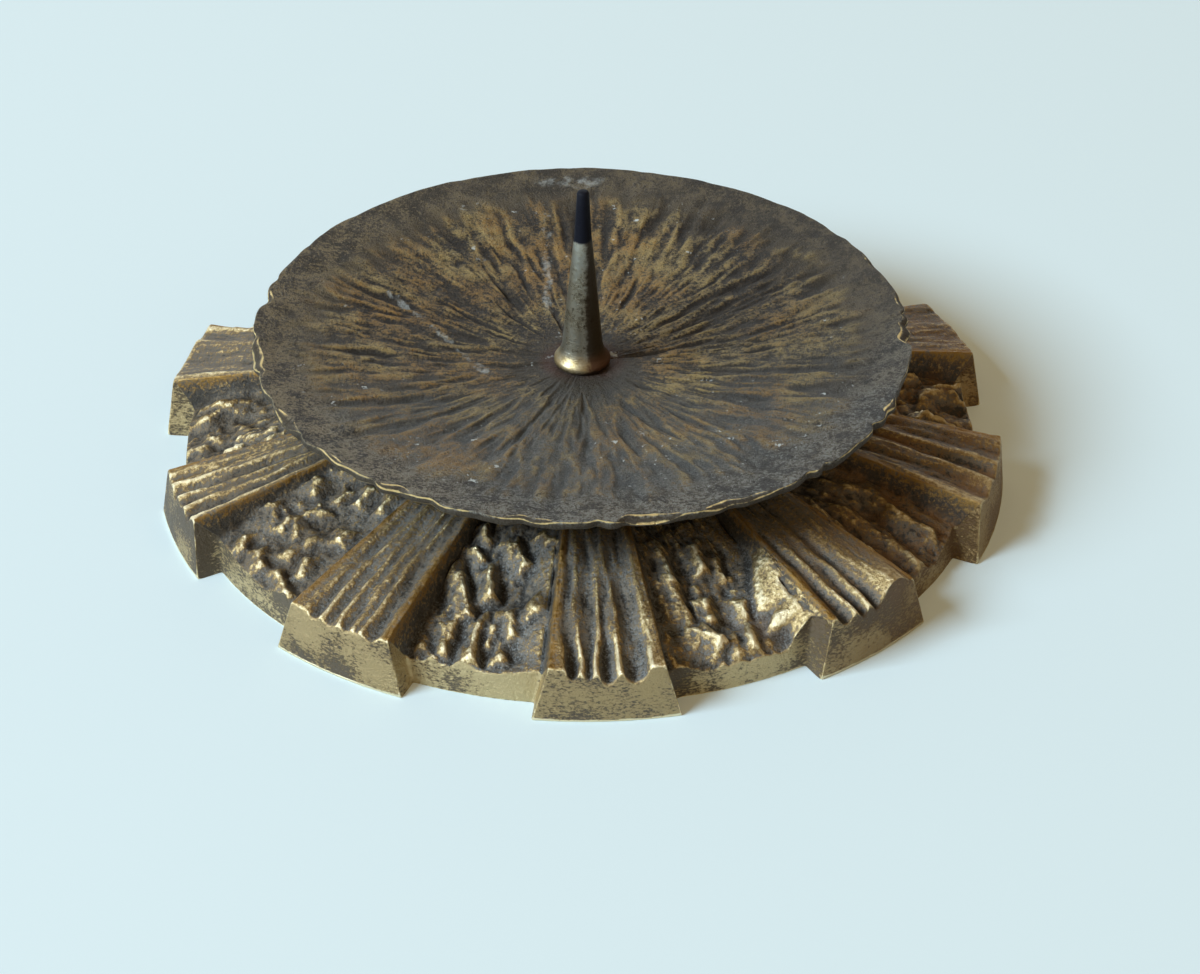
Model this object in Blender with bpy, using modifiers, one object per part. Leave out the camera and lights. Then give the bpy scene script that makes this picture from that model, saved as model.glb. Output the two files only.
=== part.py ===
"""Low pricket altar candlestick: a cast bronze foot with ten fluted ribs, a drip pan and a turned spike.

Metres, +Z up. The origin is on the resting plane, on the axis of the pricket. One rib points along -Y.
"""

import math

import bmesh
import bpy
from mathutils import Matrix, Vector

# Foot casting
FOOT_RADIUS = 0.075  # rib ends, at the table
RIB_END_LEAN = 0.0012  # how far a rib's end leans in at its upper edge
RIB_END_HEIGHT = 0.0097
RIB_COUNT = 10
RIB_FOOT_HALF_ANGLE = math.radians(9.35)
RIB_TOP_HALF_ANGLE = math.radians(7.28)
RIB_CROWN_RADIUS = 0.037  # where a rib stops rising
RIB_CROWN_DROP = 0.0002  # level stretch of a rib, below the hub
RIB_FLUTES = 4
RIB_FLUTE_DEPTH = 0.0008
RIB_BORDER_ANGLE = math.radians(0.95)  # plain strip on each side of the flutes
PANEL_SETBACK = 0.0046  # panel ends behind rib ends, at the table
PANEL_END_LEAN = 0.0006
PANEL_END_HEIGHT = 0.0048
PANEL_CROWN_DROP = 0.001  # where the panels meet the hub, below its top
HUB_RADIUS = 0.030
HUB_HEIGHT = 0.0171
FOOT_WALL = 0.004  # metal over the hollow underside
FOOT_RING_WIDTH = 0.0084  # flat ring under the panels that stands on the table
BOSS_RADIUS = 0.009

# Drip pan
PAN_RADIUS = 0.057
PAN_DEPTH = 0.0067
PAN_FLOOR_RADIUS = 0.008
PAN_CENTRE_THICKNESS = 0.0022
PAN_EDGE_THICKNESS = 0.0019
PAN_SEAT_RADIUS = 0.014
PAN_CURVE = 1.8  # power of the rise from the floor to the rim
PAN_RINGS = 9

# Pricket
PRICKET_HEIGHT = 0.034
PRICKET_TIP_RADIUS = 0.00105
PRICKET_TIP_LENGTH = 0.0096  # blackened end
PRICKET_NECK_RADIUS = 0.0016  # at the lower end of the blackened tip
PRICKET_SHAFT_RADIUS = 0.00355  # above the flare
PRICKET_FOOT_RADIUS = 0.00525
PRICKET_FOOT_EDGE = 0.001
PRICKET_FLARE_HEIGHT = 0.0026
PRICKET_SOCKET_DEPTH = 0.009
PRICKET_SOCKET_POINT = 0.001  # drill point at the end of the socket
PRICKET_FLARE_POINTS = 5

# Stud, washer and nut under the foot, with an M4 thread drawn as its outer cylinder
STUD_RADIUS = 0.002
STUD_GRIP = 0.008  # length held in the pricket
STUD_TAIL = 0.0018  # length showing under the nut
STUD_TABLE_GAP = 0.0016  # from the end of the stud to the table
STUD_CHAMFER = 0.0004
WASHER_RADIUS = 0.0045
WASHER_THICKNESS = 0.0008
NUT_ACROSS_FLATS = 0.007
NUT_HEIGHT = 0.0032
NUT_CHAMFER = 0.0005

# Fits
SEAT_GAP = 0.0003  # between pieces that rest on each other
THREAD_CLEARANCE = 0.00015  # radial, around the stud in the nut and the pricket
HOLE_CLEARANCE = 0.0003  # radial, around the stud in the castings and the washer

# Drawing
CUT_OVERSHOOT = 0.002  # how far a cutter runs past the face that it opens
FOOT_STEPS = 120
PAN_STEPS = 72
SMALL_STEPS = 36
SMOOTH_ANGLE = math.radians(35)

# Radii and heights of the foot
RIB_TOP_RADIUS = FOOT_RADIUS - RIB_END_LEAN
RIB_CROWN_HEIGHT = HUB_HEIGHT - RIB_CROWN_DROP
PANEL_RADIUS = FOOT_RADIUS - PANEL_SETBACK
PANEL_TOP_RADIUS = PANEL_RADIUS - PANEL_END_LEAN
PANEL_CROWN_HEIGHT = HUB_HEIGHT - PANEL_CROWN_DROP

# Heights of the stack, from the hub up to the spike and from the table up to the boss
PAN_SEAT = HUB_HEIGHT + SEAT_GAP
PAN_FLOOR = PAN_SEAT + PAN_CENTRE_THICKNESS
PRICKET_BOTTOM = PAN_FLOOR + SEAT_GAP
PRICKET_TOP = PRICKET_BOTTOM + PRICKET_HEIGHT
STUD_BOTTOM = STUD_TABLE_GAP
STUD_TOP = PRICKET_BOTTOM + STUD_GRIP
NUT_BOTTOM = STUD_BOTTOM + STUD_TAIL
NUT_TOP = NUT_BOTTOM + NUT_HEIGHT
WASHER_BOTTOM = NUT_TOP + SEAT_GAP
WASHER_TOP = WASHER_BOTTOM + WASHER_THICKNESS
BOSS_BOTTOM = WASHER_TOP + SEAT_GAP
HOLE_RADIUS = STUD_RADIUS + HOLE_CLEARANCE
THREAD_HOLE_RADIUS = STUD_RADIUS + THREAD_CLEARANCE


def clear_scene():
    for old in list(bpy.data.objects):
        bpy.data.objects.remove(old, do_unlink=True)


def new_collection(name):
    collection = bpy.data.collections.new(name)
    bpy.context.scene.collection.children.link(collection)
    return collection


def new_material(name, colour, roughness, metallic):
    material = bpy.data.materials.new(name)
    material.use_nodes = True
    shader = material.node_tree.nodes["Principled BSDF"]
    shader.inputs["Base Color"].default_value = (*colour, 1)
    shader.inputs["Roughness"].default_value = roughness
    shader.inputs["Metallic"].default_value = metallic
    return material


def new_object(name, mesh, collection):
    made = bpy.data.objects.new(name, mesh)
    collection.objects.link(made)
    return made


def turned(name, outline, steps, collection):
    """A solid turned about Z from an outline of (radius, height) that runs down its outer side."""
    points = [(radius, 0, height) for radius, height in outline]
    edges = [(index, index + 1) for index in range(len(points) - 1)]
    if outline[0][0] > 0:
        edges.append((len(points) - 1, 0))
    mesh = bpy.data.meshes.new(name)
    mesh.from_pydata(points, edges, [])
    made = new_object(name, mesh, collection)
    screw = made.modifiers.new("Turn", "SCREW")
    screw.steps = steps
    screw.render_steps = steps
    screw.use_merge_vertices = True
    screw.merge_threshold = 1e-6
    return made


def upright(name, sides, radius, bottom, top, collection):
    """A prism or cylinder standing on the Z axis."""
    shape = bmesh.new()
    middle = Matrix.Translation((0, 0, (bottom + top) / 2))
    bmesh.ops.create_cone(
        shape, cap_ends=True, segments=sides, radius1=radius, radius2=radius, depth=top - bottom, matrix=middle
    )
    mesh = bpy.data.meshes.new(name)
    shape.to_mesh(mesh)
    shape.free()
    return new_object(name, mesh, collection)


def combine(target, other, operation):
    boolean = target.modifiers.new(other.name, "BOOLEAN")
    boolean.object = other
    boolean.operation = operation
    boolean.solver = "EXACT"


def panel_height(radius):
    """Upper surface of the panels, which rises from their ends to the hub."""
    share = (PANEL_TOP_RADIUS - radius) / (PANEL_TOP_RADIUS - HUB_RADIUS)
    return PANEL_END_HEIGHT + share * (PANEL_CROWN_HEIGHT - PANEL_END_HEIGHT)


def rib_height(radius):
    """Upper edge of a rib, which rises inward and then runs level under the pan."""
    share = (RIB_TOP_RADIUS - radius) / (RIB_TOP_RADIUS - RIB_CROWN_RADIUS)
    return RIB_END_HEIGHT + min(share, 1) * (RIB_CROWN_HEIGHT - RIB_END_HEIGHT)


def rib_section(radius):
    """Points across the rib along -Y at a radius: up one side, over the fluted top and down the other."""
    foot = radius * math.tan(RIB_FOOT_HALF_ANGLE)
    edge = radius * math.tan(RIB_TOP_HALF_ANGLE)
    fluted = radius * math.tan(RIB_TOP_HALF_ANGLE - RIB_BORDER_ANGLE)
    top = rib_height(radius)
    half_pitch = fluted / RIB_FLUTES
    outline = [(-foot, 0), (-edge, top)]
    for half in range(2 * RIB_FLUTES + 1):
        outline.append((half * half_pitch - fluted, top - RIB_FLUTE_DEPTH * (half % 2)))
    outline += [(edge, top), (foot, 0)]
    return [(across, -radius, up) for across, up in outline]


def rib_blocks(name, collection):
    """All ribs as one mesh of separate blocks, each lofted from inside the hub to past the rim."""
    stations = (HUB_RADIUS - FOOT_WALL, RIB_CROWN_RADIUS, FOOT_RADIUS + FOOT_WALL)
    shape = bmesh.new()
    for rib in range(RIB_COUNT):
        turn = Matrix.Rotation(math.tau * rib / RIB_COUNT, 4, "Z")
        rings = []
        for radius in stations:
            rings.append([shape.verts.new(turn @ Vector(point)) for point in rib_section(radius)])
        for inner, outer in zip(rings, rings[1:]):
            for index in range(len(inner)):
                following = (index + 1) % len(inner)
                shape.faces.new((inner[index], inner[following], outer[following], outer[index]))
        shape.faces.new(rings[0])
        shape.faces.new(rings[-1])
    bmesh.ops.recalc_face_normals(shape, faces=shape.faces)
    mesh = bpy.data.meshes.new(name)
    shape.to_mesh(mesh)
    shape.free()
    return new_object(name, mesh, collection)


def make_foot(parts, cutters):
    """The foot casting: panels and hub turned, ribs joined on, then hollowed and bored."""
    foot = turned(
        "base_casting",
        [
            (0, HUB_HEIGHT),
            (HUB_RADIUS, HUB_HEIGHT),
            (HUB_RADIUS, PANEL_CROWN_HEIGHT),
            (PANEL_TOP_RADIUS, PANEL_END_HEIGHT),
            (PANEL_RADIUS, 0),
            (0, 0),
        ],
        FOOT_STEPS,
        parts,
    )
    lean = (FOOT_RADIUS - RIB_TOP_RADIUS) / RIB_END_HEIGHT
    above = HUB_HEIGHT + CUT_OVERSHOOT
    rib_ends = turned(
        "rib_ends",
        [(0, above), (FOOT_RADIUS - lean * above, above), (FOOT_RADIUS, 0), (0, 0)],
        FOOT_STEPS,
        cutters,
    )
    ribs = rib_blocks("ribs", cutters)
    combine(ribs, rib_ends, "INTERSECT")
    combine(foot, ribs, "UNION")
    hollow_radius = PANEL_RADIUS - FOOT_RING_WIDTH
    hollow = turned(
        "foot_hollow",
        [
            (0, BOSS_BOTTOM),
            (BOSS_RADIUS, BOSS_BOTTOM),
            (BOSS_RADIUS, HUB_HEIGHT - FOOT_WALL),
            (HUB_RADIUS, PANEL_CROWN_HEIGHT - FOOT_WALL),
            (hollow_radius, panel_height(hollow_radius) - FOOT_WALL),
            (hollow_radius, -CUT_OVERSHOOT),
            (0, -CUT_OVERSHOOT),
        ],
        FOOT_STEPS,
        cutters,
    )
    combine(foot, hollow, "DIFFERENCE")
    bore = upright("foot_bore", SMALL_STEPS, HOLE_RADIUS, 0, HUB_HEIGHT + CUT_OVERSHOOT, cutters)
    combine(foot, bore, "DIFFERENCE")
    return foot


def pan_rise(radius):
    """Height of the pan's upper face above its floor."""
    share = max(radius - PAN_FLOOR_RADIUS, 0) / (PAN_RADIUS - PAN_FLOOR_RADIUS)
    return PAN_DEPTH * share**PAN_CURVE


def make_pan(parts):
    """The drip pan: a shallow turned dish with a flat seat under it and a hole for the stud."""
    spacing = (PAN_RADIUS - PAN_FLOOR_RADIUS) / PAN_RINGS
    radii = [PAN_FLOOR_RADIUS + spacing * ring for ring in range(PAN_RINGS + 1)]
    upper = [(radius, PAN_FLOOR + pan_rise(radius)) for radius in radii]
    lower = []
    for radius in reversed(radii):
        share = radius / PAN_RADIUS
        thickness = PAN_CENTRE_THICKNESS + share * (PAN_EDGE_THICKNESS - PAN_CENTRE_THICKNESS)
        if radius > PAN_SEAT_RADIUS:
            lower.append((radius, PAN_FLOOR + pan_rise(radius) - thickness))
    seat = [(PAN_SEAT_RADIUS, PAN_SEAT), (HOLE_RADIUS, PAN_SEAT), (HOLE_RADIUS, PAN_FLOOR)]
    return turned("drip_pan", [*upper, *lower, *seat], PAN_STEPS, parts)


def make_pricket(parts):
    """The spike: a blunt taper, a concave flare into a round foot, and a socket for the stud."""
    neck = PRICKET_TOP - PRICKET_TIP_LENGTH
    foot_top = PRICKET_BOTTOM + PRICKET_FOOT_EDGE
    outline = [(0, PRICKET_TOP), (PRICKET_TIP_RADIUS, PRICKET_TOP), (PRICKET_NECK_RADIUS, neck)]
    for point in range(PRICKET_FLARE_POINTS + 1):
        angle = math.pi / 2 * point / PRICKET_FLARE_POINTS
        radius = PRICKET_FOOT_RADIUS - (PRICKET_FOOT_RADIUS - PRICKET_SHAFT_RADIUS) * math.cos(angle)
        outline.append((radius, foot_top + PRICKET_FLARE_HEIGHT * (1 - math.sin(angle))))
    socket_top = PRICKET_BOTTOM + PRICKET_SOCKET_DEPTH
    outline += [
        (PRICKET_FOOT_RADIUS, PRICKET_BOTTOM),
        (THREAD_HOLE_RADIUS, PRICKET_BOTTOM),
        (THREAD_HOLE_RADIUS, socket_top),
        (0, socket_top + PRICKET_SOCKET_POINT),
    ]
    return turned("pricket", outline, SMALL_STEPS, parts)


def make_stud(parts):
    """The fixing stud, held in the pricket and reaching down through the pan, the foot and the nut."""
    end = STUD_RADIUS - STUD_CHAMFER
    outline = [
        (0, STUD_TOP),
        (end, STUD_TOP),
        (STUD_RADIUS, STUD_TOP - STUD_CHAMFER),
        (STUD_RADIUS, STUD_BOTTOM + STUD_CHAMFER),
        (end, STUD_BOTTOM),
        (0, STUD_BOTTOM),
    ]
    return turned("fixing_stud", outline, SMALL_STEPS, parts)


def make_washer(parts):
    outline = [
        (WASHER_RADIUS, WASHER_TOP),
        (WASHER_RADIUS, WASHER_BOTTOM),
        (HOLE_RADIUS, WASHER_BOTTOM),
        (HOLE_RADIUS, WASHER_TOP),
    ]
    return turned("nut_washer", outline, SMALL_STEPS, parts)


def make_nut(parts, cutters):
    """The hexagon nut, with its corners chamfered at both ends."""
    corner = NUT_ACROSS_FLATS / math.sqrt(3)
    flat = NUT_ACROSS_FLATS / 2
    nut = upright("hex_nut", 6, corner, NUT_BOTTOM, NUT_TOP, parts)
    chamfer = turned(
        "nut_chamfer",
        [
            (0, NUT_TOP),
            (flat, NUT_TOP),
            (flat + 2 * NUT_CHAMFER, NUT_TOP - NUT_CHAMFER),
            (flat + 2 * NUT_CHAMFER, NUT_BOTTOM + NUT_CHAMFER),
            (flat, NUT_BOTTOM),
            (0, NUT_BOTTOM),
        ],
        SMALL_STEPS,
        cutters,
    )
    combine(nut, chamfer, "INTERSECT")
    below = NUT_BOTTOM - CUT_OVERSHOOT
    above = NUT_TOP + CUT_OVERSHOOT
    hole = upright("nut_hole", SMALL_STEPS, THREAD_HOLE_RADIUS, below, above, cutters)
    combine(nut, hole, "DIFFERENCE")
    return nut


def finish(piece, material, parent):
    """Shades the piece, puts its origin at its parent on the joint axis and hangs it there."""
    graph = bpy.context.evaluated_depsgraph_get()
    mesh = bpy.data.meshes.new_from_object(piece.evaluated_get(graph))
    piece.modifiers.clear()
    piece.data = mesh
    mesh.materials.clear()
    mesh.materials.append(material)
    mesh.shade_smooth()
    mesh.set_sharp_from_angle(angle=SMOOTH_ANGLE)
    mesh.transform(parent.matrix_world.inverted())
    piece.parent = parent


def make_candlestick():
    clear_scene()
    parts = new_collection("altar_candlestick")
    cutters = new_collection("cutters")
    foot_frame = new_object("foot_frame", None, parts)
    pan_frame = new_object("pan_frame", None, parts)
    pan_frame.location.z = PAN_SEAT
    pan_frame.parent = foot_frame
    pricket_frame = new_object("pricket_frame", None, parts)
    pricket_frame.location.z = PRICKET_BOTTOM - PAN_SEAT
    pricket_frame.parent = pan_frame
    bronze = new_material("patinated_bronze", (0.23, 0.17, 0.09), 0.45, 1)
    pan_bronze = new_material("dark_bronze", (0.14, 0.11, 0.07), 0.5, 1)
    brass = new_material("spike_brass", (0.42, 0.35, 0.22), 0.38, 1)
    steel = new_material("zinced_steel", (0.55, 0.55, 0.53), 0.4, 1)
    pieces = [
        (make_foot(parts, cutters), bronze, foot_frame),
        (make_washer(parts), steel, foot_frame),
        (make_nut(parts, cutters), steel, foot_frame),
        (make_pan(parts), pan_bronze, pan_frame),
        (make_stud(parts), steel, pricket_frame),
        (make_pricket(parts), brass, pricket_frame),
    ]
    bpy.context.view_layer.update()
    for piece, material, parent in pieces:
        finish(piece, material, parent)
    for helper in cutters.objects:
        helper.hide_render = True
        helper.display_type = "WIRE"


make_candlestick()
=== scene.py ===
import math

import bpy
import numpy as np
from mathutils import Matrix, Vector


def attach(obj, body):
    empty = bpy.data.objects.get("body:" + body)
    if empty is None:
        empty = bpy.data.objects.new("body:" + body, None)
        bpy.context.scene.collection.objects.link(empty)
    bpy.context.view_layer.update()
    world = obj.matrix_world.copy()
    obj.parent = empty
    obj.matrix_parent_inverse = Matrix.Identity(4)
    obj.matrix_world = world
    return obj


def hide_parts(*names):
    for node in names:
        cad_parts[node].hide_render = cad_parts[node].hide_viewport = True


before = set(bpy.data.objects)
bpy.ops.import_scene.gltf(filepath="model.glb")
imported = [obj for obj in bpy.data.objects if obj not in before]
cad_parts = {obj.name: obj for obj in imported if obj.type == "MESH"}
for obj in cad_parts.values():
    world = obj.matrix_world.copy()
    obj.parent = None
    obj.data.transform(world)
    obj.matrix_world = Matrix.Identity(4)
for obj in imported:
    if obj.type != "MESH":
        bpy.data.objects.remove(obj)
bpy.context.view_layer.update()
scene = bpy.context.scene
mm = 0.001
print("frame loaded:", sorted(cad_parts))


# Sums on node sockets, so that a tree reads as the formula it holds

class Wire:
    def __init__(self, tree, socket):
        self.tree = tree
        self.socket = socket

    def __add__(self, other):
        return calc("ADD", self, other)

    def __radd__(self, other):
        return calc("ADD", other, self)

    def __sub__(self, other):
        return calc("SUBTRACT", self, other)

    def __rsub__(self, other):
        return calc("SUBTRACT", other, self)

    def __mul__(self, other):
        return calc("MULTIPLY", self, other)

    def __truediv__(self, other):
        return calc("DIVIDE", self, other)


def plug(socket, value):
    if isinstance(value, Wire):
        value.tree.links.new(value.socket, socket)
    else:
        socket.default_value = value


def calc(operation, *values):
    tree = next(value.tree for value in values if isinstance(value, Wire))
    node = tree.nodes.new("ShaderNodeMath")
    node.operation = operation
    for socket, value in zip(node.inputs, values):
        plug(socket, value)
    return Wire(tree, node.outputs[0])


def clamped(value):
    return calc("MINIMUM", calc("MAXIMUM", value, 0.0), 1.0)


def between(value, low, high, first=0.0, last=1.0):
    # smooth step from first to last as value goes from low to high
    node = value.tree.nodes.new("ShaderNodeMapRange")
    node.interpolation_type = "SMOOTHSTEP"
    for socket, number in zip(node.inputs, (value, low, high, first, last)):
        plug(socket, number)
    return Wire(value.tree, node.outputs[0])


def point(tree, x, y, z):
    node = tree.nodes.new("ShaderNodeCombineXYZ")
    for socket, value in zip(node.inputs, (x, y, z)):
        plug(socket, value)
    return Wire(tree, node.outputs[0])


def axesOf(place):
    node = place.tree.nodes.new("ShaderNodeSeparateXYZ")
    plug(node.inputs[0], place)
    return [Wire(place.tree, output) for output in node.outputs]


def noise(place, size=1.0, detail=2.0, roughness=0.5):
    node = place.tree.nodes.new("ShaderNodeTexNoise")
    plug(node.inputs["Vector"], place)
    node.inputs["Scale"].default_value = size
    node.inputs["Detail"].default_value = detail
    node.inputs["Roughness"].default_value = roughness
    return Wire(place.tree, node.outputs[0])


def noises(place, grain):
    # one noise for each row of the table: its size, detail and roughness
    return [noise(place, *row) for row in grain.values()]


def vectorMath(operation, *values):
    tree = values[0].tree
    node = tree.nodes.new("ShaderNodeVectorMath")
    node.operation = operation
    spots = [node.inputs[0], node.inputs[3]] if operation == "SCALE" else node.inputs
    for socket, value in zip(spots, values):
        plug(socket, value)
    return Wire(tree, node.outputs["Value" if operation == "DOT_PRODUCT" else "Vector"])


def named(tree, name):
    # a number stored on the mesh, in a geometry tree or in a material
    if tree.type == "GEOMETRY":
        node = tree.nodes.new("GeometryNodeInputNamedAttribute")
        node.data_type = "FLOAT"
        node.inputs["Name"].default_value = name
        return Wire(tree, node.outputs["Attribute"])
    node = tree.nodes.new("ShaderNodeAttribute")
    node.attribute_name = name
    return Wire(tree, node.outputs["Fac"])


def stored(tree, *names):
    return [named(tree, name) for name in names]


def mixColour(factor, first, second):
    node = factor.tree.nodes.new("ShaderNodeMix")
    node.data_type = "RGBA"
    plug(node.inputs[0], factor)
    for socket, value in ((node.inputs[6], first), (node.inputs[7], second)):
        plug(socket, value if isinstance(value, Wire) else (*value, 1))
    return Wire(factor.tree, node.outputs[2])


def coated(colour, colours, coats):
    # lays coats over a colour in turn, each with its cover and the name of its colour
    for cover, coat in coats:
        colour = mixColour(cover, colour, coat if isinstance(coat, Wire) else colours[coat])
    return colour


# Geometry trees

def startTree(name, inputs):
    tree = bpy.data.node_groups.new(name, "GeometryNodeTree")
    tree.interface.new_socket("Geometry", in_out="INPUT", socket_type="NodeSocketGeometry")
    for label, value in inputs.items():
        socket = tree.interface.new_socket(label, in_out="INPUT", socket_type="NodeSocketFloat")
        socket.default_value = value
    tree.interface.new_socket("Material", in_out="INPUT", socket_type="NodeSocketMaterial")
    tree.interface.new_socket("Geometry", in_out="OUTPUT", socket_type="NodeSocketGeometry")
    start = tree.nodes.new("NodeGroupInput")
    return tree, {socket.name: Wire(tree, socket) for socket in start.outputs if socket.name}


def geometryStep(tree, kind, geometry, **values):
    node = tree.nodes.new(kind)
    plug(node.inputs[0], geometry)
    for label, value in values.items():
        plug(node.inputs[label], value)
    return Wire(tree, node.outputs[0])


def field(tree, kind):
    return Wire(tree, tree.nodes.new(kind).outputs[0])


def blurred(value, times):
    node = value.tree.nodes.new("GeometryNodeBlurAttribute")
    node.data_type = "FLOAT_VECTOR"
    plug(node.inputs["Value"], value)
    node.inputs["Iterations"].default_value = times
    return Wire(value.tree, node.outputs[0])


def keepNumber(tree, geometry, name, value):
    node = tree.nodes.new("GeometryNodeStoreNamedAttribute")
    node.data_type = "FLOAT"
    node.domain = "POINT"
    plug(node.inputs["Geometry"], geometry)
    node.inputs["Name"].default_value = name
    plug(node.inputs["Value"], value)
    return Wire(tree, node.outputs[0])


def keepWear(tree, geometry, fine, broad):
    # how far each point stands out of its smoothed neighbourhood, in tenths of a millimetre
    place = field(tree, "GeometryNodeInputPosition")
    normal = field(tree, "GeometryNodeInputNormal")
    for name, times in (("edge", fine), ("crest", broad)):
        out = vectorMath("SUBTRACT", place, blurred(place, times))
        stand = vectorMath("DOT_PRODUCT", out, normal) * 1e4
        geometry = keepNumber(tree, geometry, name, stand)
    return geometry


def endTree(tree, geometry, material):
    geometry = geometryStep(tree, "GeometryNodeSetShadeSmooth", geometry)
    geometry = geometryStep(tree, "GeometryNodeRealizeInstances", geometry)
    geometry = geometryStep(tree, "GeometryNodeSetMaterial", geometry, Material=material)
    finish = tree.nodes.new("NodeGroupOutput")
    plug(finish.inputs[0], geometry)


def newObject(name, data):
    made = bpy.data.objects.new(name, data)
    scene.collection.objects.link(made)
    return made


def grownPiece(name, mesh, tree, settings):
    # runs the tree on the mesh with these settings and keeps the result as a plain mesh
    made = newObject(name, mesh)
    modifier = made.modifiers.new(tree.name, "NODES")
    modifier.node_group = tree
    for item in tree.interface.items_tree:
        if item.in_out == "INPUT" and item.name in settings:
            modifier[item.identifier] = settings[item.name]
    graph = bpy.context.evaluated_depsgraph_get()
    plain = bpy.data.meshes.new_from_object(
        made.evaluated_get(graph), preserve_all_data_layers=True, depsgraph=graph
    )
    made.modifiers.clear()
    made.data = plain
    plain.name = name
    print(name, len(plain.polygons), "faces")
    return made


def loopedMesh(name, places, numbers):
    # a closed skin from rows of places, joined round both ways, with numbers kept on its points
    rows, columns = places.shape[:2]
    index = np.arange(rows * columns).reshape(rows, columns)
    below, beside = np.roll(index, -1, 0), np.roll(index, -1, 1)
    across = np.roll(below, -1, 1)
    faces = np.stack([index, below, across, beside], -1).reshape(-1, 4)
    mesh = bpy.data.meshes.new(name)
    mesh.from_pydata((places.reshape(-1, 3) * mm).tolist(), [], faces.tolist())
    for label, values in numbers.items():
        spread = np.broadcast_to(values, (rows, columns)).astype(np.float32).ravel()
        mesh.attributes.new(label, "FLOAT", "POINT").data.foreach_set("value", spread)
    mesh.update()
    return mesh


# Foot: ten fluted ribs with rough panels between them, sizes in millimetres and degrees

footShape = {
    "ribs": 10, "seed": 11,
    # one value for each rib, from the front one round by the right; its panel lies between it and the next
    "ribTurn": (-0.5, 0.6, -1.2, 0.3, -0.4, 0.5, -0.3, 0.4, 0.3, 0.2),
    "ribWidth": (0.99, 0.97, 1.14, 1.0, 0.97, 1.03, 0.98, 1.04, 0.86, 1.02),
    "ribRise": (0.0, 0.6, 0.9, 0.2, -0.3, 0.3, 0.0, 0.4, 0.5, 0.3),
    "fluteDepth": (1.25, 1.15, 0.9, 0.5, 1.0, 0.8, 1.0, 0.9, 1.0, 0.8),
    "fluteRound": (0.7, 1.1, 1.3, 1.4, 1.0, 1.5, 1.0, 1.2, 1.3, 1.1),
    "fluteScoop": (1.25, 0.7, 0.4, 0.3, 0.8, 0.5, 0.8, 0.5, 0.7, 0.5),
    "ribWear": (-0.15, -0.1, -0.1, 0, 0, 0, 0, 0, 0.1, 0.15),
    "ribPits": (0.0, 0.07, 0.04, 0.06, 0.0, 0.03, 0.0, 0.1, 0.1, 0.0),
    "lumpLength": (7.2, 16.0, 8.0, 7.0, 9.0, 7.5, 10.0, 8.0, 7.0, 7.6),
    "panelRough": (0.9, 1, 1, 1, 1, 1, 1, 0.9, 0.6, 0.8),
    "panelWear": (0.55, 0, 0, 0, 0, 0, 0, 0, 0.15, 0.15),
    "panelPits": (0.07, 0.05, 0.0, 0.02, 0.0, 0.03, 0.0, 0.1, 0.13, -0.06),
    # how far each panel climbs towards the rib on its left and on its right
    "panelLift": (
        (2.0, 0), (1.2, 1.5), (1.4, 0.8), (1.2, 1.4), (0.8, 1.2),
        (1.5, 0.9), (1.0, 1.3), (2.0, 1.0), (2.4, 0.8), (0.6, 2.4),
    ),
    "ribHalf": 7.28, "ribFootHalf": 9.35, "wallSpread": 1.05,
    "endRadius": 74.85, "endLean": 1.2, "endHeight": 9.7,
    "panelRadius": 70.4, "panelLean": 0.6, "panelHeight": 4.8, "panelCrown": 16.0, "panelRadians": 0.345,
    "crownRadius": 37.0, "crownHeight": 16.8, "hubRadius": 30.0, "hubHeight": 17.05,
    "acrossRadius": 60,  # where lengths round the foot are measured
    "ridgeRadii": (44, 59, 74), "ridgeSpan": 0.87, "ridgeShift": 0.09,
    "fluteWidth": 3.2, "scoopStretch": (63, 73),
    # lower edge of the slope beside the rib to the right of the front one: radius and share across the panel
    "slopeFoot": (
        (50, 0.98), (53.4, 0.95), (57, 0.85), (60, 0.78), (62, 0.75), (64, 0.83), (66.4, 0.74), (67.6, 0.87),
        (71, 0.84),
    ),
    "slopeHeight": 4.5, "slopeStretch": (48, 57),
    # strips rubbed bright: the rib, the middle and half width across it, and the radius where each starts
    "polished": (
        (1, 0.34, 0.2, 52), (1, 0.62, 0.5, 60), (2, -0.9, 0.16, 50), (8, 0.86, 0.14, 44),
        (7, -0.86, 0.16, 44), (0, 0.9, 0.2, 46), (8, -0.6, 0.4, 46), (7, 0.88, 0.16, 42),
    ),
    "polishedFade": 16,
}
# where the rows and columns of the foot's skin lie
footGrid = {
    "ribColumns": (*np.linspace(0, 0.93, 19), 0.955, 0.98),
    "wallColumns": (0, 0.04, 0.11, 0.25, 0.42, 0.6, 0.8, 0.94),
    "panelColumns": np.linspace(0, 1, 40, endpoint=False),
    "hubRows": (2.6, 15, 29), "hiddenRows": 6,
    "shownFrom": 41.0, "shownRows": (*np.linspace(0, 0.972, 58), 0.985, 0.995, 1),
    "endRows": (0.03, 0.08, 0.17, 0.29, 0.41, 0.53, 0.65, 0.77, 0.87, 0.94, 0.98, 1),
    "footRows": (0.3, 1.2),
    "underside": (
        (62.3, 0), (62, 0.6), (61.8, 2.4), (60.5, 3.4), (52, 5.9), (44, 8.1), (30, 12),
        (11, 13), (9.4, 12.8), (9, 12.2), (9, 8.5), (8.6, 8), (2.7, 8), (2.4, 8.4), (2.4, 16.7),
    ),
}
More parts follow.
